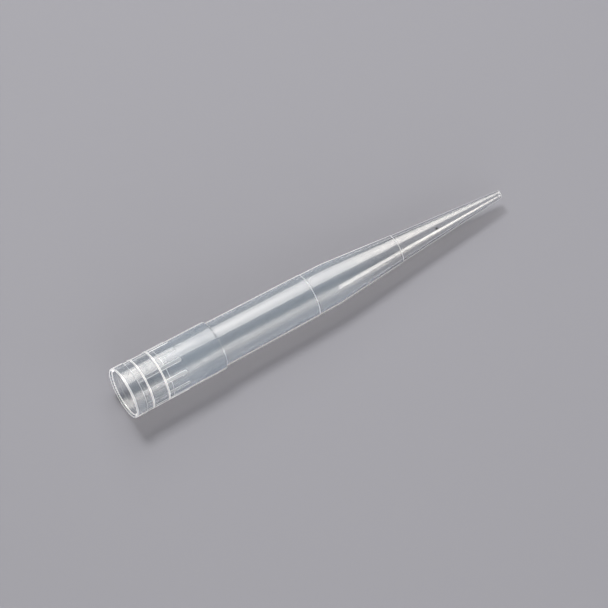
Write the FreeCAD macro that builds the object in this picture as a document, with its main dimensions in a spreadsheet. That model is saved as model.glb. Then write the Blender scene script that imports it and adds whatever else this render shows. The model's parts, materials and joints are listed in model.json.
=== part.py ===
import FreeCAD, Part
import os
import re
import Sketcher

# A pipette tip, moulded in one piece. In its own body the axis runs along X from the middle of the
# mouth (X 0) to the orifice, and a station is a place on that axis. The body's Placement then lays
# the tip on Z 0, on the shoulder of its collar and an edge further on, with the origin under its middle.

doc = FreeCAD.newDocument("PipetteTip")
sheet = doc.addObject("Spreadsheet::Sheet", "Sizes")

SIZES = (
    # alias, millimetres or degrees, what it is
    ("sealRadius", 3.80, "straight socket wall that grips the pipette's cone"),
    ("leadIn", 0.20, "how much wider the mouth is than the seal, on the radius"),
    ("rimWall", 0.42, "wall at the rim"),
    ("rimFlat", 0.08, "flat top of the rim outside its bevel"),
    ("lipDepth", 0.30, "depth of the bevel inside the rim"),
    ("mouthDepth", 1.15, "straight entry before the lead-in starts"),
    ("sealStart", 7.15, "station where the straight socket wall starts"),
    ("collarWall", 0.44, "wall at the end of the collar, over the seal's radius"),
    ("collarLength", 17.10, "mouth to the collar's shoulder"),
    ("stopSetback", 0.90, "from the inner stop's foot back to the collar's shoulder"),
    ("stopRun", 0.60, "length of the slope of the inner stop"),
    ("shoulderStep", 0.35, "drop from collar to body, on the radius"),
    ("shoulderRound", 0.30, "rounding of the collar's shoulder"),
    ("bandLength", 1.97, "plain band behind the rim, where the ribs start"),
    ("panelDepth", 0.14, "depth of the wall between the ribs below the rim"),
    ("ringHeight", 0.12, "height of the two rings over the wall at the mouth"),
    ("ringWidth", 0.34, "width of a ring at its foot"),
    ("ringOne", 3.20, "station of the ring next to the mouth"),
    ("ringTwo", 6.10, "station of the other ring"),
    ("beadAt", 4.45, "station of the fine bead inside the socket"),
    ("beadWidth", 0.30, "width of that bead at its foot"),
    ("beadHeight", 0.05, "height of that bead"),
    ("ribCount", 12, "ribs around the collar"),
    ("ribWidth", 0.56, "width of a rib"),
    ("ribHeight", 0.10, "height of a rib over the wall at the mouth"),
    ("ribRoot", 0.16, "how far a rib reaches into the wall"),
    ("ribEnd", 10.00, "station of the ribs' rounded ends"),
    ("ribPhase", 16.25, "degrees from the top to the first rib"),
    ("bodyLength", 17.70, "shoulder to the first mark"),
    ("bodyDraft", 0.16, "loss of radius along the body"),
    ("bodyWall", 0.45, "wall of the body"),
    ("markStep", 0.06, "drop at each mark, on the radius"),
    ("markRound", 0.05, "rounding of each mark's edge"),
    ("roundShare", 0.90, "most of a step that its rounding may take"),
    ("neckLength", 4.30, "first mark to the bend"),
    ("neckDraft", 0.07, "loss of radius along the neck"),
    ("neckWall", 0.43, "wall at the bend"),
    ("coneLength", 12.40, "bend to the second mark"),
    ("coneEnd", 2.46, "radius of the cone before the second mark"),
    ("coneWall", 0.44, "wall behind the second mark"),
    ("pointLength", 20.00, "second mark to the orifice"),
    ("orificeRadius", 0.40, "radius of the orifice"),
    ("orificeWall", 0.30, "wall at the orifice"),
)

for row, (alias, value, note) in enumerate(SIZES, 1):
    sheet.set(f"A{row}", alias)
    sheet.set(f"B{row}", str(value))
    sheet.set(f"C{row}", note)
    sheet.setAlias(f"B{row}", alias)
doc.recompute()

# Radii and stations that follow from the sizes
MOUTH = "(sealRadius + leadIn)"
RIM = f"({MOUTH} + rimWall)"
WALL_TOP = f"({RIM} - panelDepth)"
COLLAR = "(sealRadius + collarWall)"
BODY_TOP = f"({COLLAR} - shoulderStep)"
BODY_END = f"({BODY_TOP} - bodyDraft)"
NECK_TOP = f"({BODY_END} - markStep)"
NECK_END = f"({NECK_TOP} - neckDraft)"
POINT_TOP = "(coneEnd - markStep)"
MARK_ONE = "(collarLength + bodyLength)"
BEND = f"({MARK_ONE} + neckLength)"
MARK_TWO = f"({BEND} + coneLength)"
TIP = f"({MARK_TWO} + pointLength)"
STOP = "(collarLength - stopSetback)"
ORIFICE_RIM = "(orificeRadius + orificeWall)"
LEAD_IN = "(sealRadius + leadIn * (sealStart - beadAt) / (sealStart - mouthDepth))"
SHOULDER_ROUND = "min(shoulderRound; roundShare * shoulderStep)"
MARK_ROUND = "min(markRound; roundShare * markStep)"


def sized(text):
    """An expression for the document, from one that names sizes only."""
    return re.sub(r"\b([a-z][A-Za-z]+)\b(?!\()", r"Sizes.\1", str(text))


def worth(text):
    return float(sheet.evalExpression(sized(text)))


def bind(item, prop, text):
    item.setExpression(prop, sized(text))


def origin(body, role):
    return next(item for item in body.Origin.OriginFeatures if item.Role == role)


def sketch_on(body, name, role):
    sketch = body.newObject("Sketcher::SketchObject", name)
    sketch.AttachmentSupport = [(origin(body, role), "")]
    sketch.MapMode = "FlatFace"
    return sketch


def hold(sketch, kind, geometry, end, text):
    """Fix one coordinate of a point to an expression, or the point to the axis that it lies on."""
    if text == "0":
        axis = -2 if kind == "DistanceX" else -1
        sketch.addConstraint(Sketcher.Constraint("PointOnObject", geometry, end, axis))
        return
    rule = Sketcher.Constraint(kind, -1, 1, geometry, end, worth(text))
    bind(sketch, f"Constraints[{sketch.addConstraint(rule)}]", text)


def outline(sketch, corners):
    """A closed outline of (station, radius) corners. A corner with a third and fourth value is reached
    by an arc of that radius, which bulges away from the axis (1) or towards it (-1)."""
    places = [FreeCAD.Vector(worth(x), worth(r), 0) for x, r, *_ in corners]
    ends = []
    for number, (corner, here) in enumerate(zip(corners, places)):
        before = places[number - 1]
        if len(corner) == 2:
            ends.append((sketch.addGeometry(Part.LineSegment(before, here)), 1, 2))
            continue
        radius, side = worth(corner[2]), corner[3]
        half = (here - before).Length / 2
        rise = radius - (radius**2 - half**2) ** 0.5
        across = FreeCAD.Vector(before.y - here.y, here.x - before.x, 0).normalize()
        arc = Part.Arc(before, (before + here) / 2 + across * rise * side, here)
        edge = sketch.addGeometry(arc)
        first = 1 if sketch.getPoint(edge, 1).isEqual(before, 1e-6) else 2
        ends.append((edge, first, 3 - first))
        rule = sketch.addConstraint(Sketcher.Constraint("Radius", edge, radius))
        bind(sketch, f"Constraints[{rule}]", corner[2])
    for number, (edge, first, _) in enumerate(ends):
        previous, _, last = ends[number - 1]
        sketch.addConstraint(Sketcher.Constraint("Coincident", previous, last, edge, first))
        station, radius = corners[number - 1][:2]
        hold(sketch, "DistanceX", edge, first, station)
        hold(sketch, "DistanceY", edge, first, radius)


def turned(body, kind, name, corners):
    """A section on the plane through the axis, turned all the way round it."""
    sketch = sketch_on(body, f"{name}Section", "XZ_Plane")
    outline(sketch, corners)
    feature = body.newObject(f"PartDesign::{kind}", name)
    feature.Profile = sketch
    feature.ReferenceAxis = (sketch, ["H_Axis"])
    feature.Angle = 360
    return feature


def barrel(body):
    """The outside, as a solid: rim, band, collar, body, neck, cone and point."""
    corners = [
        ("0", "0"),
        ("0", RIM),
        ("bandLength", RIM),
        ("bandLength", WALL_TOP),
        (f"collarLength - {SHOULDER_ROUND}", COLLAR),
        ("collarLength", f"{COLLAR} - {SHOULDER_ROUND}", SHOULDER_ROUND, 1),
        ("collarLength", BODY_TOP),
        (f"{MARK_ONE} - {MARK_ROUND}", BODY_END),
        (MARK_ONE, f"{BODY_END} - {MARK_ROUND}", MARK_ROUND, 1),
        (MARK_ONE, NECK_TOP),
        (BEND, NECK_END),
        (f"{MARK_TWO} - {MARK_ROUND}", "coneEnd"),
        (MARK_TWO, f"coneEnd - {MARK_ROUND}", MARK_ROUND, 1),
        (MARK_TWO, POINT_TOP),
        (TIP, ORIFICE_RIM),
        (TIP, "0"),
    ]
    turned(body, "Revolution", "Barrel", corners)


def bore(body):
    """The hollow, cut from mouth to orifice: bevel, entry, lead-in, socket, stop and liquid space."""
    corners = [
        ("0", "0"),
        ("0", f"{RIM} - rimFlat"),
        ("lipDepth", MOUTH),
        ("mouthDepth", MOUTH),
        ("sealStart", "sealRadius"),
        (f"{STOP} - stopRun", "sealRadius"),
        (STOP, f"{BODY_TOP} - bodyWall"),
        (MARK_ONE, f"{BODY_END} - bodyWall"),
        (BEND, f"{NECK_END} - neckWall"),
        (MARK_TWO, "coneEnd - coneWall"),
        (TIP, "orificeRadius"),
        (TIP, "0"),
    ]
    turned(body, "Groove", "Bore", corners)


def half_round(body, name, station, width, height, foot, side):
    """A half-round ridge all the way round: out from a wall of radius foot (side 1) or in (-1)."""
    root = f"({foot} - {side} * {height})"
    crown = f"({width} * {width} / 4 + {height} * {height}) / (2 * {height})"
    corners = [
        (f"{station} - {width} / 2", root),
        (f"{station} - {width} / 2", foot),
        (f"{station} + {width} / 2", foot, crown, side),
        (f"{station} + {width} / 2", root),
    ]
    turned(body, "Revolution", name, corners)


def ribs(body):
    """Low ribs along the collar, from the band to their rounded ends, their tops parallel to the axis."""
    top = f"({WALL_TOP} + ribHeight)"
    sketch = sketch_on(body, "RibOutline", "XY_Plane")
    turn = FreeCAD.Rotation(FreeCAD.Vector(1, 0, 0), 1)
    sketch.AttachmentOffset = FreeCAD.Placement(FreeCAD.Vector(0, 0, 1), turn)
    bind(sketch, "AttachmentOffset.Rotation.Angle", "ribPhase")
    bind(sketch, "AttachmentOffset.Base.y", f"-{top} * sin(ribPhase)")
    bind(sketch, "AttachmentOffset.Base.z", f"{top} * cos(ribPhase)")

    start, straight = worth("bandLength - ribRoot"), worth("ribEnd - ribWidth / 2")
    half = worth("ribWidth / 2")
    low, high = FreeCAD.Vector(start, -half, 0), FreeCAD.Vector(start, half, 0)
    far_low, far_high = FreeCAD.Vector(straight, -half, 0), FreeCAD.Vector(straight, half, 0)
    sketch.addGeometry(Part.LineSegment(low, far_low))
    sketch.addGeometry(Part.Arc(far_low, FreeCAD.Vector(straight + half, 0, 0), far_high))
    sketch.addGeometry(Part.LineSegment(far_high, high))
    sketch.addGeometry(Part.LineSegment(high, low))
    for rule in (
        ("Tangent", 0, 2, 1, 1),
        ("Tangent", 1, 2, 2, 1),
        ("Coincident", 2, 2, 3, 1),
        ("Coincident", 3, 2, 0, 1),
        ("Horizontal", 0),
        ("Horizontal", 2),
        ("Symmetric", 3, 1, 3, 2, -1),
    ):
        sketch.addConstraint(Sketcher.Constraint(*rule))
    hold(sketch, "DistanceX", 3, 1, "bandLength - ribRoot")
    hold(sketch, "DistanceX", 1, 3, "ribEnd - ribWidth / 2")
    rule = sketch.addConstraint(Sketcher.Constraint("Radius", 1, half))
    bind(sketch, f"Constraints[{rule}]", "ribWidth / 2")

    pad = body.newObject("PartDesign::Pad", "Rib")
    pad.Profile = sketch
    pad.Reversed = True
    bind(pad, "Length", "ribHeight + ribRoot")
    doc.recompute()
    around = body.newObject("PartDesign::PolarPattern", "Ribs")
    around.Originals = [pad]
    around.Axis = (origin(body, "X_Axis"), [""])
    around.Angle = 360
    bind(around, "Occurrences", "ribCount")
    body.Tip = around


def slope_onto(station, radius, rounding):
    """The slope at which the tip lies on its shoulder and on this edge, with the edge's own rounding."""
    run = f"({station} - {rounding} - collarLength + {SHOULDER_ROUND})"
    fall = f"({COLLAR} - {SHOULDER_ROUND} - {radius} + {rounding})"
    return f"(atan({fall} / {run}) + asin(({SHOULDER_ROUND} - {rounding}) / sqrt({run}^2 + {fall}^2)))"


def lay_down(body):
    """Slope the body until it lies on its shoulder and whichever comes down first, the first mark or
    the bend, raise it until they touch Z 0, and centre it."""
    mark, bend = slope_onto(MARK_ONE, BODY_END, MARK_ROUND), slope_onto(BEND, NECK_END, "0")
    slope = f"min({mark}; {bend})"
    length = f"({TIP} * cos({slope}) + ({ORIFICE_RIM} - {RIM}) * sin({slope}))"
    drop = f"({COLLAR} - {SHOULDER_ROUND})"
    centre = f"(collarLength - {SHOULDER_ROUND}) * sin({slope}) + {drop} * cos({slope})"
    level = FreeCAD.Rotation(FreeCAD.Vector(0, 1, 0), 1)
    body.Placement = FreeCAD.Placement(FreeCAD.Vector(0, 0, 1), level)
    bind(body, "Placement.Rotation.Angle", slope)
    bind(body, "Placement.Base.x", f"-{length} / 2")
    bind(body, "Placement.Base.z", f"{centre} + {SHOULDER_ROUND}")


def build_tip():
    body = doc.addObject("PartDesign::Body", "pipette_tip")
    body.Label = "pipette_tip"
    barrel(body)
    doc.recompute()
    solid = body.Shape.Volume
    bore(body)
    doc.recompute()
    if not body.Shape.Volume < solid / 2:
        raise RuntimeError("the bore cut nothing")
    for name, station in (("RingOne", "ringOne"), ("RingTwo", "ringTwo")):
        half_round(body, name, station, "ringWidth", "ringHeight", WALL_TOP, 1)
    half_round(body, "Bead", "beadAt", "beadWidth", "beadHeight", LEAD_IN, -1)
    doc.recompute()
    plain = body.Shape.Volume
    ribs(body)
    doc.recompute()
    if not body.Shape.Volume > plain:
        raise RuntimeError("the ribs added nothing")
    lay_down(body)
    return body


tip = build_tip()
doc.recompute()
for item in doc.Objects:
    if "Invalid" in item.State or "Error" in item.State:
        raise RuntimeError(f"{item.Label} failed: {item.State}")
if tip.Shape.isNull() or not tip.Shape.isValid() or len(tip.Shape.Solids) != 1:
    raise RuntimeError(f"{tip.Label} isn't one valid solid")

os.makedirs("parts", exist_ok=True)
tip.Shape.exportStep(f"parts/{tip.Label}.step")
print(f"{tip.Label}: {tip.Shape.Volume:.1f} cubic millimetres")
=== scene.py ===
import json
from math import asin, atan2, cos, hypot, pi, radians, sin, sqrt

import bmesh
import bpy
from mathutils import Matrix, Vector


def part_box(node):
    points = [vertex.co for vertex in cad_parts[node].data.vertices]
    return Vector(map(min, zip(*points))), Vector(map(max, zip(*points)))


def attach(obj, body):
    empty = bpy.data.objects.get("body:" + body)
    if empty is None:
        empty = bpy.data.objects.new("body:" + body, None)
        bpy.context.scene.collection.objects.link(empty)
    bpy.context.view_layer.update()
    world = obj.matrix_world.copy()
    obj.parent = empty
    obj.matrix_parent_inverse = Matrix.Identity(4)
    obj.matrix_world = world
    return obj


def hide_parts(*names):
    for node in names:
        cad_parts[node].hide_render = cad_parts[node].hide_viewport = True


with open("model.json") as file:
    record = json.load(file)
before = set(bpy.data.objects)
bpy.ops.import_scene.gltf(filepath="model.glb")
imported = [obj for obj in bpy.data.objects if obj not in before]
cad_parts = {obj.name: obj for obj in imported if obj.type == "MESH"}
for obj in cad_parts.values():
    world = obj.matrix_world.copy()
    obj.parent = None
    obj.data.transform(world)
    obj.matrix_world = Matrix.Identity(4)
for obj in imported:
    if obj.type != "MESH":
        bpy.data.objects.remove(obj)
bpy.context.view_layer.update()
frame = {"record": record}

# The tip is drawn in millimetres along its own axis: X is the station, counted from the middle of the
# mouth, and the radius stands on Z. The socket's mount in the frame's record then says where it lies.
mm = 0.001
scene = bpy.context.scene
scene.view_settings.view_transform = "Standard"


# Node maths, so that a material reads like a sum

class Value:
    def __init__(self, tree, socket):
        self.tree = tree
        self.socket = socket

    def maths(self, operation, *others):
        values = dict(enumerate([self, *others]))
        node = self.tree.node("ShaderNodeMath", {"operation": operation}, values)
        return node.out(0)

    def __add__(self, other): return self.maths("ADD", other)
    def __radd__(self, other): return self.maths("ADD", other)
    def __sub__(self, other): return self.maths("SUBTRACT", other)
    def __rsub__(self, other): return self.flipped("SUBTRACT", other)
    def __mul__(self, other): return self.maths("MULTIPLY", other)
    def __rmul__(self, other): return self.maths("MULTIPLY", other)
    def __truediv__(self, other): return self.maths("DIVIDE", other)
    def __rtruediv__(self, other): return self.flipped("DIVIDE", other)

    def flipped(self, operation, first):
        node = self.tree.node("ShaderNodeMath", {"operation": operation}, {0: first, 1: self})
        return node.out(0)

    def clamped(self):
        node = self.tree.node("ShaderNodeClamp", {}, {"Value": self})
        return node.out(0)


class Made:     # a node, for its outputs
    def __init__(self, tree, node):
        self.tree = tree
        self.node = node

    def out(self, name):
        return Value(self.tree, self.node.outputs[name])


class Tree:
    def __init__(self, material):
        material.use_nodes = True
        self.nodes = material.node_tree.nodes
        self.links = material.node_tree.links
        self.nodes.clear()

    def node(self, kind, settings, inputs):
        node = self.nodes.new(kind)
        for name, value in settings.items():
            setattr(node, name, value)
        for name, value in inputs.items():
            if isinstance(value, Value):
                self.links.new(value.socket, node.inputs[name])
            else:
                node.inputs[name].default_value = value
        return Made(self, node)


# The moulding

tip = {
    "sealRadius": 3.80, "leadIn": 0.20, "rimWall": 0.42, "rimFlat": 0.10, "rimRound": 0.08, "lipDepth": 0.30,
    "flatRound": 1 / 3,     # how much of the rim's flat its inner rounding takes
    "mouthDepth": 1.15, "sealStart": 7.15, "collarWall": 0.44, "collarLength": 17.10,
    "stopSetback": 0.90, "stopRun": 2.60, "stopRound": 0.90,
    "shoulderStep": 0.35, "shoulderRound": 0.30,
    "bandLength": 1.97, "panelDepth": 0.14,
    "bodyLength": 17.70, "bodyDraft": 0.16, "bodyWall": 0.45,
    "markStep": 0.06, "markRound": 0.05, "markFoot": 0.01,      # a mark's step, its edge and its foot
    "neckLength": 4.30, "neckDraft": 0.07, "neckWall": 0.43,
    "coneLength": 12.40, "coneEnd": 2.46, "coneWall": 0.44,
    "pointLength": 20.00, "orificeRadius": 0.40, "orificeWall": 0.30,
    "edgeRound": 0.04,      # every moulded edge that has no rounding of its own
    "hold": 0.04,           # plain wall kept flat beside an edge,
    "holdRoom": 2.5,        # where the wall is this many times longer
    "roundSteps": 3,
    "merge": 0.001,         # points nearer than this are one
    "sharpFrom": 38,        # degrees between two faces that shade as an edge
}
rings = {
    "outside": (3.20, 6.10), "width": 0.34, "height": 0.12,
    "beadAt": 4.45, "beadWidth": 0.30, "beadHeight": 0.05,
    "steps": 6, "foot": 0.05,   # plain wall kept beside a ridge
}
ribs = {
    "count": 12, "width": 0.56, "height": 0.10, "end": 10.00,
    "phase": 16.25,         # degrees that the first one is turned from the top
    "side": 0.10, "sideWidth": 0.16,    # how far a side leans out past the rib's width, and its whole run
    "topSteps": 6, "sideSteps": 4, "gapSteps": 6, "endSteps": 9,
}

edgeMilkAndGlint = {
    # how white each moulded edge looks, partly the plastic's own milkiness and partly a painted highlight
    # for the glints and the light carried round the wall: up to 1 from outside, up to 2 from inside the wall
    # as well, and below 0 from inside the wall alone
    "rim": 2.0, "lip": 2.0, "band": 0.35, "ring": 1.0, "bead": 0.2, "ribTop": 0.15, "ribSide": 0.55,
    "mark": 0.8, "orifice": 1.3, "seal": -0.45,
    "ribStart": 0.4,        # how much of it a rib has before the second ring
    "rimWidth": 0.12, "rimInside": 0.08, "lipWidth": 0.10,      # how far it reaches from the rim's corners,
    "fade": 0.02,           # and the step over which it ends
}
cloudy = {
    # how hazy and how rough each part is
    "mouth": 0.60, "collar": 1.15, "shoulder": 0.40, "body": 0.92, "point": 0.3,
    "shoulderFrom": 0.24, "neckPast": 0.12, "past": 0.01,   # where the haze changes by a corner
}

mouthRadius = tip["sealRadius"] + tip["leadIn"]
rimRadius = mouthRadius + tip["rimWall"]
wallTop = rimRadius - tip["panelDepth"]
collarRadius = tip["sealRadius"] + tip["collarWall"]
bodyTop = collarRadius - tip["shoulderStep"]
bodyEnd = bodyTop - tip["bodyDraft"]
neckTop = bodyEnd - tip["markStep"]
neckEnd = neckTop - tip["neckDraft"]
pointTop = tip["coneEnd"] - tip["markStep"]
markOne = tip["collarLength"] + tip["bodyLength"]
bend = markOne + tip["neckLength"]
markTwo = bend + tip["coneLength"]
tipLength = markTwo + tip["pointLength"]
stopAt = tip["collarLength"] - tip["stopSetback"]
ribTop = wallTop + ribs["height"]
cloudyUpTo = (
    (tip["sealStart"] - tip["edgeRound"], cloudy["mouth"]),
    (tip["collarLength"] - cloudy["shoulderFrom"], cloudy["collar"]),
    (tip["collarLength"] + cloudy["past"], cloudy["shoulder"]),
    (bend + cloudy["neckPast"], cloudy["body"]),
    (tipLength + cloudy["past"], cloudy["point"]),
)


# from millimetres on the tip's own axis to where the socket lies in the frame
socket = frame["record"]["mounts"][0]
along, across = -Vector(socket["axis"]), Vector((0, 1, 0))
tipPlace = Matrix((along, across, along.cross(across))).transposed().to_4x4()
tipPlace.translation = Vector(socket["pos_m"]) - along * tip["sealStart"] * mm
tipPlace = tipPlace @ Matrix.Scale(mm, 4)


def onLine(station, start, end):
    # radius at a station between two (station, radius) ends
    share = (station - start[0]) / (end[0] - start[0])
    return start[1] + share * (end[1] - start[1])


collarEnds = (tip["bandLength"], wallTop), (tip["collarLength"], collarRadius)
entryEnds = (tip["mouthDepth"], mouthRadius), (tip["sealStart"], tip["sealRadius"])
lipEnds = (0, rimRadius - tip["rimFlat"]), (tip["lipDepth"], mouthRadius)


def halfRound(station, ends, width, height, side, share):
    # points over a half-round ridge on a wall, from its near foot to its far foot
    radius = (width * width / 4 + height * height) / (2 * height)
    reach = asin(width / 2 / radius)
    points = []
    for i in range(rings["steps"] + 1):
        turn = -reach + 2 * reach * i / rings["steps"]
        x = station + radius * sin(turn)
        rise = height - radius + radius * cos(turn)
        points.append((x, onLine(x, *ends) + side * rise, 0, share * sqrt(max(rise, 0) / height)))
    foot = width / 2 + rings["foot"]
    near, far = [(x, onLine(x, *ends), 0, 0) for x in (station - foot, station + foot)]
    return [near, *points, far]


def outsidePoints():
    # (station, radius, rounding, white of milk and painted highlight) along the outside, mouth to orifice
    sharp = tip["edgeRound"]
    points = [
        (0, rimRadius, tip["rimRound"], edgeMilkAndGlint["rim"]),
        (edgeMilkAndGlint["rimWidth"], rimRadius, 0, edgeMilkAndGlint["rim"]),
        (edgeMilkAndGlint["rimWidth"] + edgeMilkAndGlint["fade"], rimRadius, 0, 0),
        (tip["bandLength"], rimRadius, sharp, edgeMilkAndGlint["band"]),
        (*collarEnds[0], sharp, edgeMilkAndGlint["band"]),
    ]
    for station in rings["outside"]:
        points += halfRound(station, collarEnds, rings["width"], rings["height"], 1, edgeMilkAndGlint["ring"])
    start = ribs["end"] - ribs["width"] / 2 - ribs["side"]
    step = (ribs["end"] + ribs["side"] - start) / ribs["endSteps"]
    for i in range(ribs["endSteps"] + 2):
        station = start + i * step
        points.append((station, onLine(station, *collarEnds), 0, 0))
    return points + [
        (tip["collarLength"], collarRadius, tip["shoulderRound"], 0),
        (tip["collarLength"], bodyTop, sharp, 0),
        (markOne, bodyEnd, tip["markRound"], edgeMilkAndGlint["mark"]),
        (markOne, neckTop, tip["markFoot"], edgeMilkAndGlint["mark"]),
        (bend, neckEnd, sharp, 0),
        (markTwo, tip["coneEnd"], tip["markRound"], edgeMilkAndGlint["mark"]),
        (markTwo, pointTop, tip["markFoot"], edgeMilkAndGlint["mark"]),
        (tipLength, tip["orificeRadius"] + tip["orificeWall"], sharp, edgeMilkAndGlint["orifice"]),
    ]


def insidePoints():
    # the same along the bore, orifice to mouth
    sharp = tip["edgeRound"]
    bead = halfRound(rings["beadAt"], entryEnds, rings["beadWidth"], rings["beadHeight"], -1, edgeMilkAndGlint["bead"])
    lipReach = tip["lipDepth"] + edgeMilkAndGlint["lipWidth"]
    rimReach = edgeMilkAndGlint["rimInside"] + edgeMilkAndGlint["fade"]
    return [
        (tipLength, tip["orificeRadius"], sharp, edgeMilkAndGlint["orifice"]),
        (markTwo, tip["coneEnd"] - tip["coneWall"], sharp, 0),
        (bend, neckEnd - tip["neckWall"], sharp, 0),
        (markOne, bodyEnd - tip["bodyWall"], 0, 0),
        (stopAt, bodyTop - tip["bodyWall"], tip["stopRound"], 0),
        (stopAt - tip["stopRun"], tip["sealRadius"], tip["stopRound"], 0),
        (tip["sealStart"], tip["sealRadius"], sharp, edgeMilkAndGlint["seal"]),
        *reversed(bead),
        (tip["mouthDepth"], mouthRadius, sharp, edgeMilkAndGlint["bead"]),
        (lipReach + edgeMilkAndGlint["fade"], mouthRadius, 0, 0),
        (lipReach, mouthRadius, 0, edgeMilkAndGlint["lip"]),
        (tip["lipDepth"], mouthRadius, sharp, edgeMilkAndGlint["lip"]),
        (rimReach, onLine(rimReach, *lipEnds), 0, 0),
        (edgeMilkAndGlint["rimInside"], onLine(edgeMilkAndGlint["rimInside"], *lipEnds), 0, edgeMilkAndGlint["rim"]),
        (*lipEnds[0], tip["rimFlat"] * tip["flatRound"], edgeMilkAndGlint["rim"]),
    ]


def heldApart(points):
    # plain points beside each rounded corner keep the long walls' shading straight
    held = []
    for before, point, after in zip(points[-1:] + points, points, points[1:] + points[:1]):
        station, radius, rounding, _ = point
        here, kept = Vector((station, radius)), rounding + tip["hold"]
        beside = []
        for near in (before, after):
            away = Vector(near[:2]) - here
            plain = (*(here + away.normalized() * kept), 0, 0)
            roomy = rounding and away.length > tip["holdRoom"] * kept
            beside.append([plain] if roomy else [])
        held += [*beside[0], point, *beside[1]]
    return held


def ribHeight(station, across):
    # 1 on a rib, 0 off it, with a rounded end and a smooth slope between
    half = ribs["width"] / 2
    past = station - (ribs["end"] - half)
    away = abs(across) if past < 0 else hypot(past, across)
    share = min(max((half + ribs["side"] - away) / ribs["sideWidth"], 0), 1)
    return share * share * (3 - 2 * share)


def turnOn(bm, geometry, angle, steps):
    made = bmesh.ops.spin(bm, geom=geometry, axis=(1, 0, 0), angle=angle, steps=steps, use_merge=False)
    return made["geom_last"]


def makeMoulding():
    bm = bmesh.new()
    points = heldApart(outsidePoints() + insidePoints())
    # per point: how white it looks, partly milk and partly painted highlight
    milkAndGlint = bm.verts.layers.float.new("milkAndGlint")
    cloudiness = bm.verts.layers.float.new("cloudiness")
    corners = [bm.verts.new((station, 0, radius)) for station, radius, _, _ in points]
    for corner, following in zip(corners, corners[1:] + corners[:1]):
        bm.edges.new((corner, following))
    for corner, (_, _, rounding, share) in zip(corners, points):
        corner[milkAndGlint] = share
        if rounding:
            bmesh.ops.bevel(
                bm, geom=[corner], offset=rounding, offset_type="OFFSET", affect="VERTICES",
                segments=tip["roundSteps"], profile=0.5, material=-1,
            )

    # one rib's sector, turned in strips that are narrow where the rib's sides are
    sector = 2 * pi / ribs["count"]
    footTurn = (ribs["width"] / 2 + ribs["side"]) / wallTop
    sideTurn = ribs["sideWidth"] / wallTop
    topTurn, gapTurn = 2 * (footTurn - sideTurn), sector / 2 - footTurn
    bmesh.ops.rotate(bm, verts=bm.verts, matrix=Matrix.Rotation(-sector / 2, 3, "X"))
    edge = list(bm.verts) + list(bm.edges)
    strips = (
        (gapTurn, ribs["gapSteps"]), (sideTurn, ribs["sideSteps"]), (topTurn, ribs["topSteps"]),
        (sideTurn, ribs["sideSteps"]), (gapTurn, ribs["gapSteps"]),
    )
    for angle, steps in strips:
        edge = turnOn(bm, edge, angle, steps)

    # each point's haze, and the rib raised from the wall, with its white, partly painted highlight
    low, high = tip["bandLength"] - tip["edgeRound"] / 2, ribs["end"] + ribs["side"]
    for vert in bm.verts:
        station, radius = vert.co.x, hypot(vert.co.y, vert.co.z)
        vert[cloudiness] = next(amount for end, amount in cloudyUpTo if station < end)
        if radius < mouthRadius + tip["hold"] or not low < station < high:
            continue
        share = ribHeight(station, atan2(vert.co.y, vert.co.z) * radius)
        raised = max(radius, radius + (ribTop - radius) * share)
        # a rib's white is partly a painted highlight along its sides
        ribMilkAndGlint = edgeMilkAndGlint["ribTop"] * share + edgeMilkAndGlint["ribSide"] * 4 * share * (1 - share)     # most halfway up
        if station < rings["outside"][1]:
            ribMilkAndGlint *= edgeMilkAndGlint["ribStart"]
        vert[milkAndGlint] = max(vert[milkAndGlint], min(ribMilkAndGlint, 1))
        vert.co.y *= raised / radius
        vert.co.z *= raised / radius

    whole = list(bm.verts) + list(bm.edges) + list(bm.faces)
    bmesh.ops.spin(
        bm, geom=whole, axis=(1, 0, 0), angle=2 * pi - sector, steps=ribs["count"] - 1, use_duplicate=True
    )
    bmesh.ops.remove_doubles(bm, verts=bm.verts, dist=tip["merge"])
    bmesh.ops.recalc_face_normals(bm, faces=bm.faces)
    for face in bm.faces:
        face.smooth = True
    bmesh.ops.rotate(bm, verts=bm.verts, matrix=Matrix.Rotation(radians(ribs["phase"]), 3, "X"))
    bmesh.ops.transform(bm, verts=bm.verts, matrix=tipPlace)

    mesh = bpy.data.meshes.new("pipetteTip")
    bm.to_mesh(mesh)
    mesh.set_sharp_from_angle(angle=radians(tip["sharpFrom"]))
    print("moulding:", len(bm.faces), "faces")
    bm.free()
    piece = bpy.data.objects.new("pipetteTip", mesh)
    scene.collection.objects.link(piece)
    return piece


# Clear polypropylene, faintly milky

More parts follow.
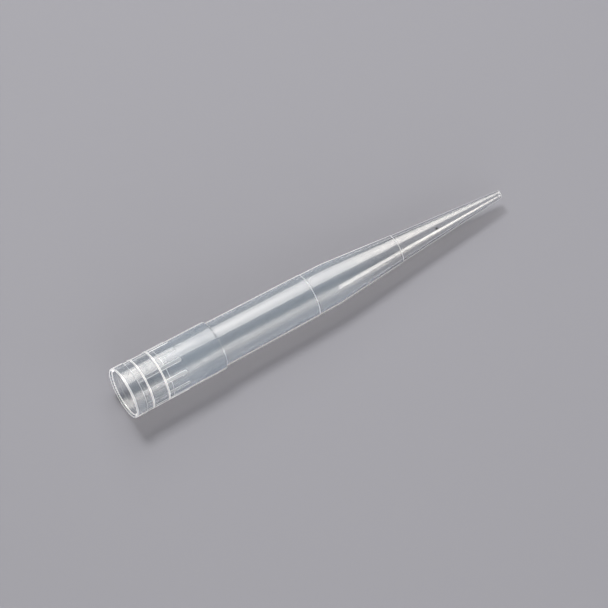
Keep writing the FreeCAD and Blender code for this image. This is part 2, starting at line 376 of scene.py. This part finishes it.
plastic = {
    "colour": (0.99, 0.98, 0.965, 1), "clear": 1.0, "ior": 1.49, "gloss": 0.03,
    # painted shade: the clearest wall darkens just inside its outline, for the shadowed floor seen through
    # it edge on
    "paintedRimShade": (0.36, 0.37, 0.39, 1),        # the clearest wall's colour just inside its outline,
    "edgeFrom": 0.43, "edgeRun": 0.08,      # and how far the wall turns away before it shows
    "roughness": 0.26, "roughnessSpread": 0.06,
    "cloudScale": 900.0, "cloudDetail": 3.0, "cloudRoughness": 0.6,
    "waveScale": 260.0, "waveDetail": 2.0, "waveDepth": 0.000001,
    "haze": (0.66, 0.82, 1.0, 1), "hazeShare": 0.22, "hazeSpread": 0.025,
    "hazeForward": 0.48,    # how much of the haze's light goes on through the wall
    # the edge white below is partly milk and partly a painted highlight for glints and light carried round
    # the wall
    "edge": (0.96, 0.98, 1.0, 1),           # the white of moulded edges and outlines
    "milkRoughness": 0.30, "milkGloss": 1.0,
    # the outline white is a painted highlight where the wall is seen edge on, partly the milk's longer path
    "outline": 0.88, "outlineFrom": 0.66, "outlineRun": 0.12,   # white where the wall is seen edge on,
    "outlineClear": 0.4,    # and how much of that a wall with no haze has
    "shade": (0.82, 0.815, 0.81, 1),        # what a lamp's light keeps at each face it passes,
    "edgeShade": (0.32, 0.32, 0.33, 1),     # and at a face it grazes
    "shadeFrom": 0.32, "shadeRun": 0.35,
}
speck = {
    "station": 58.72, "turn": 29.5, "size": 0.42, "soft": 0.04,
    "colour": (0.02, 0.02, 0.022, 1), "roughness": 0.5,
}
colourA, colourB, colourMixed = 6, 7, 2     # the Mix node's sockets for colours


def milky(tree, colour):
    # what scatters back, and what scatters on through the wall
    front = tree.node("ShaderNodeBsdfPrincipled", {}, {
        "Base Color": colour, "Roughness": plastic["milkRoughness"],
        "IOR": plastic["ior"], "Specular IOR Level": plastic["milkGloss"],
        "Coat Weight": 1.0, "Coat Roughness": plastic["gloss"], "Coat IOR": plastic["ior"],
    }).out(0)
    return front, tree.node("ShaderNodeBsdfTranslucent", {}, {"Color": colour}).out(0)


def polypropylene():
    material = bpy.data.materials.new("clearPolypropylene")
    tree = Tree(material)
    place = tree.node("ShaderNodeTexCoord", {}, {}).out("Object")
    cloud = tree.node("ShaderNodeTexNoise", {}, {
        "Vector": place, "Scale": plastic["cloudScale"],
        "Detail": plastic["cloudDetail"], "Roughness": plastic["cloudRoughness"],
    }).out(0)
    wave = tree.node("ShaderNodeTexNoise", {}, {
        "Vector": place, "Scale": plastic["waveScale"], "Detail": plastic["waveDetail"],
    }).out(0)
    bump = tree.node("ShaderNodeBump", {}, {"Height": wave, "Distance": plastic["waveDepth"]}).out("Normal")
    cloudiness = tree.node("ShaderNodeAttribute", {"attribute_name": "cloudiness"}, {}).out("Fac")
    roughness = cloud * plastic["roughnessSpread"] + (plastic["roughness"] - plastic["roughnessSpread"] / 2)
    roughness = roughness * cloudiness.clamped()
    facing = tree.node("ShaderNodeLayerWeight", {}, {}).out("Facing")
    # painted shade just inside the outline, only where the wall has little haze
    paintedRimShade = ((facing - plastic["edgeFrom"]) / plastic["edgeRun"]).clamped()
    paintedRimShade = paintedRimShade * (1 - cloudiness).clamped()
    tintAndRimShade = tree.node("ShaderNodeMix", {"data_type": "RGBA"}, {
        "Factor": paintedRimShade, colourA: plastic["colour"], colourB: plastic["paintedRimShade"],
    }).out(colourMixed)
    clear = tree.node("ShaderNodeBsdfPrincipled", {}, {
        "Base Color": tintAndRimShade, "Roughness": roughness, "IOR": plastic["ior"],
        "Transmission Weight": plastic["clear"], "Normal": bump,
        "Coat Weight": 1.0, "Coat Roughness": plastic["gloss"], "Coat IOR": plastic["ior"],
    }).out(0)

    # a bluish haze all through the wall
    haze = (cloud * plastic["hazeSpread"] + (plastic["hazeShare"] - plastic["hazeSpread"] / 2)) * cloudiness
    front, through = milky(tree, plastic["haze"])
    scatter = tree.node("ShaderNodeMixShader", {}, {0: plastic["hazeForward"], 1: front, 2: through}).out(0)
    plain = tree.node("ShaderNodeMixShader", {}, {0: haze.clamped(), 1: clear, 2: scatter}).out(0)

    # and white along the moulded edges, and where the wall is seen edge on: partly the milky plastic,
    # partly a painted highlight for glints and for light carried round the wall, which gives back more light
    # than reaches it; kept off most faces seen from inside the wall, a painted shade for the far, unlit side
    mouldedMilkGlint = tree.node("ShaderNodeAttribute", {"attribute_name": "milkAndGlint"}, {}).out("Fac")
    # faces seen from inside the wall lose their white: painted shade for ridges on the tip's unlit underside
    behind = tree.node("ShaderNodeNewGeometry", {}, {}).out("Backfacing")
    outline = ((facing - plastic["outlineFrom"]) / plastic["outlineRun"]).clamped() * plastic["outline"]
    outline = outline * (cloudiness + plastic["outlineClear"]).clamped() * (1 - behind)
    front, through = milky(tree, plastic["edge"])
    milkGlintShader = tree.node("ShaderNodeAddShader", {}, {0: front, 1: through}).out(0)
    onlyBehind = (mouldedMilkGlint * behind * -1).clamped()
    share = ((mouldedMilkGlint - behind).clamped() + onlyBehind + outline).clamped()
    plain = tree.node("ShaderNodeMixShader", {}, {0: share, 1: plain, 2: milkGlintShader}).out(0)

    # one dark speck caught in the point
    pointEnds = (markTwo, pointTop), (tipLength, tip["orificeRadius"] + tip["orificeWall"])
    radius, turn = onLine(speck["station"], *pointEnds), radians(speck["turn"])
    at = tipPlace @ Vector((speck["station"], -radius * sin(turn), radius * cos(turn)))
    away = tree.node("ShaderNodeVectorMath", {"operation": "DISTANCE"}, {0: place, 1: at}).out("Value")
    spot = ((speck["size"] / 2 + speck["soft"] / 2) * mm - away) / (speck["soft"] * mm)
    dark = tree.node("ShaderNodeBsdfPrincipled", {}, {
        "Base Color": speck["colour"], "Roughness": speck["roughness"],
    }).out(0)
    plain = tree.node("ShaderNodeMixShader", {}, {0: spot.clamped(), 1: plain, 2: dark}).out(0)

    # lamps and the floor's bounce pass through, dimmed most where they graze a wall
    path = tree.node("ShaderNodeLightPath", {}, {})
    passing = tree.node("ShaderNodeBsdfTransparent", {}, {"Color": plastic["shade"]}).out(0)
    grazing = tree.node("ShaderNodeBsdfTransparent", {}, {"Color": plastic["edgeShade"]}).out(0)
    graze = ((facing - plastic["shadeFrom"]) / plastic["shadeRun"]).clamped()
    shaded = tree.node("ShaderNodeMixShader", {}, {0: graze, 1: passing, 2: grazing}).out(0)
    bounced, shadowed = path.out("Is Diffuse Ray"), path.out("Is Shadow Ray")
    bounce = tree.node("ShaderNodeMixShader", {}, {0: bounced, 1: plain, 2: passing}).out(0)
    lit = tree.node("ShaderNodeMixShader", {}, {0: shadowed, 1: bounce, 2: passing}).out(0)
    surface = tree.node("ShaderNodeMixShader", {}, {0: shadowed, 1: lit, 2: shaded}).out(0)
    tree.node("ShaderNodeOutputMaterial", {}, {"Surface": surface})
    print("polypropylene:", len(tree.nodes), "nodes")
    return material


pipetteTip = makeMoulding()
pipetteTip.data.materials.append(polypropylene())
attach(pipetteTip, "root")
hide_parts("pipette_tip")
print("tip: in place")


# Floor, light and camera

floor = {
    "size": 3.0, "colour": (0.350, 0.359, 0.413, 1), "roughness": 0.7,
    "drop": 0.00001,        # keeps it clear of the tip
}
lampColour = (1.0, 0.960, 0.910)
lamps = {
    # name: (direction from the tip, distance, width along X, height, radiance)
    "backPanel": ((0.370, 0.473, 0.795), 0.60, 0.22, 0.69, 3.0),
    "backCentre": ((0.370, 0.473, 0.795), 0.59, 0.20, 0.24, 0.6),
    "frontPanel": ((0.450, -0.812, 0.372), 0.60, 0.10, 0.22, 4.0),
    "frontFill": ((-0.300, -0.860, 0.410), 0.60, 0.60, 0.40, 1.85),
    "softBand": ((0.247, -0.883, 0.400), 0.60, 0.26, 0.24, 0.7),
    "lowFill": ((-0.450, -0.870, 0.180), 0.60, 0.30, 0.12, 4.0),
    "topFill": ((-0.250, -0.400, 0.880), 1.10, 0.80, 0.70, 0.4),
    "key": ((0.000, 0.485, 0.875), 0.60, 0.13, 0.15, 32.0),
}
world = {"colour": (0.96, 0.98, 1.0, 1), "strength": 0.03}
camera = {
    "azimuth": -31.72, "elevation": 61.96, "distance": 0.968, "lens": 355.3,
    "aimAcross": -0.00144, "aimUp": -0.00218, "clip": (0.01, 10),
}

lowest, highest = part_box("pipette_tip")
middle = (lowest + highest) / 2


def makeFloor():
    bm = bmesh.new()
    bmesh.ops.create_grid(bm, x_segments=1, y_segments=1, size=floor["size"] / 2)
    bmesh.ops.translate(bm, verts=bm.verts, vec=(0, 0, lowest.z - floor["drop"]))
    mesh = bpy.data.meshes.new("floor")
    bm.to_mesh(mesh)
    bm.free()
    material = bpy.data.materials.new("floorPaint")
    tree = Tree(material)
    shader = tree.node("ShaderNodeBsdfPrincipled", {}, {
        "Base Color": floor["colour"], "Roughness": floor["roughness"],
    }).out(0)
    tree.node("ShaderNodeOutputMaterial", {}, {"Surface": shader})
    mesh.materials.append(material)
    plane = bpy.data.objects.new("floor", mesh)
    scene.collection.objects.link(plane)


def makeLamp(name, direction, distance, width, height, radiance):
    data = bpy.data.lights.new(name, "AREA")
    data.shape = "RECTANGLE"
    data.size, data.size_y = width, height
    data.energy = radiance * pi * width * height    # watts
    data.color = lampColour
    lamp = bpy.data.objects.new(name, data)
    away = Vector(direction).normalized()
    across = Vector((1, 0, 0)) - away * away.x
    across.normalize()
    turn = Matrix((across, away.cross(across), away)).transposed()
    lamp.matrix_world = Matrix.Translation(middle + away * distance) @ turn.to_4x4()
    scene.collection.objects.link(lamp)


def makeWorld():
    scene.world = bpy.data.worlds.new("studio")
    scene.world.use_nodes = True
    background = scene.world.node_tree.nodes["Background"]
    background.inputs["Color"].default_value = world["colour"]
    background.inputs["Strength"].default_value = world["strength"]


def makeCamera():
    turn, rise = radians(camera["azimuth"]), radians(camera["elevation"])
    back = Vector((sin(turn) * cos(rise), -cos(turn) * cos(rise), sin(rise)))
    facing = (-back).to_track_quat("-Z", "Y")
    aim = middle + facing @ Vector((camera["aimAcross"], camera["aimUp"], 0))
    data = bpy.data.cameras.new("camera")
    data.lens = camera["lens"]
    data.clip_start, data.clip_end = camera["clip"]
    view = bpy.data.objects.new("camera", data)
    view.rotation_mode = "QUATERNION"
    view.rotation_quaternion = facing
    view.location = aim + back * camera["distance"]
    scene.collection.objects.link(view)
    scene.camera = view


makeFloor()
for name, values in lamps.items():
    makeLamp(name, *values)
makeWorld()
makeCamera()
print("studio: ready")
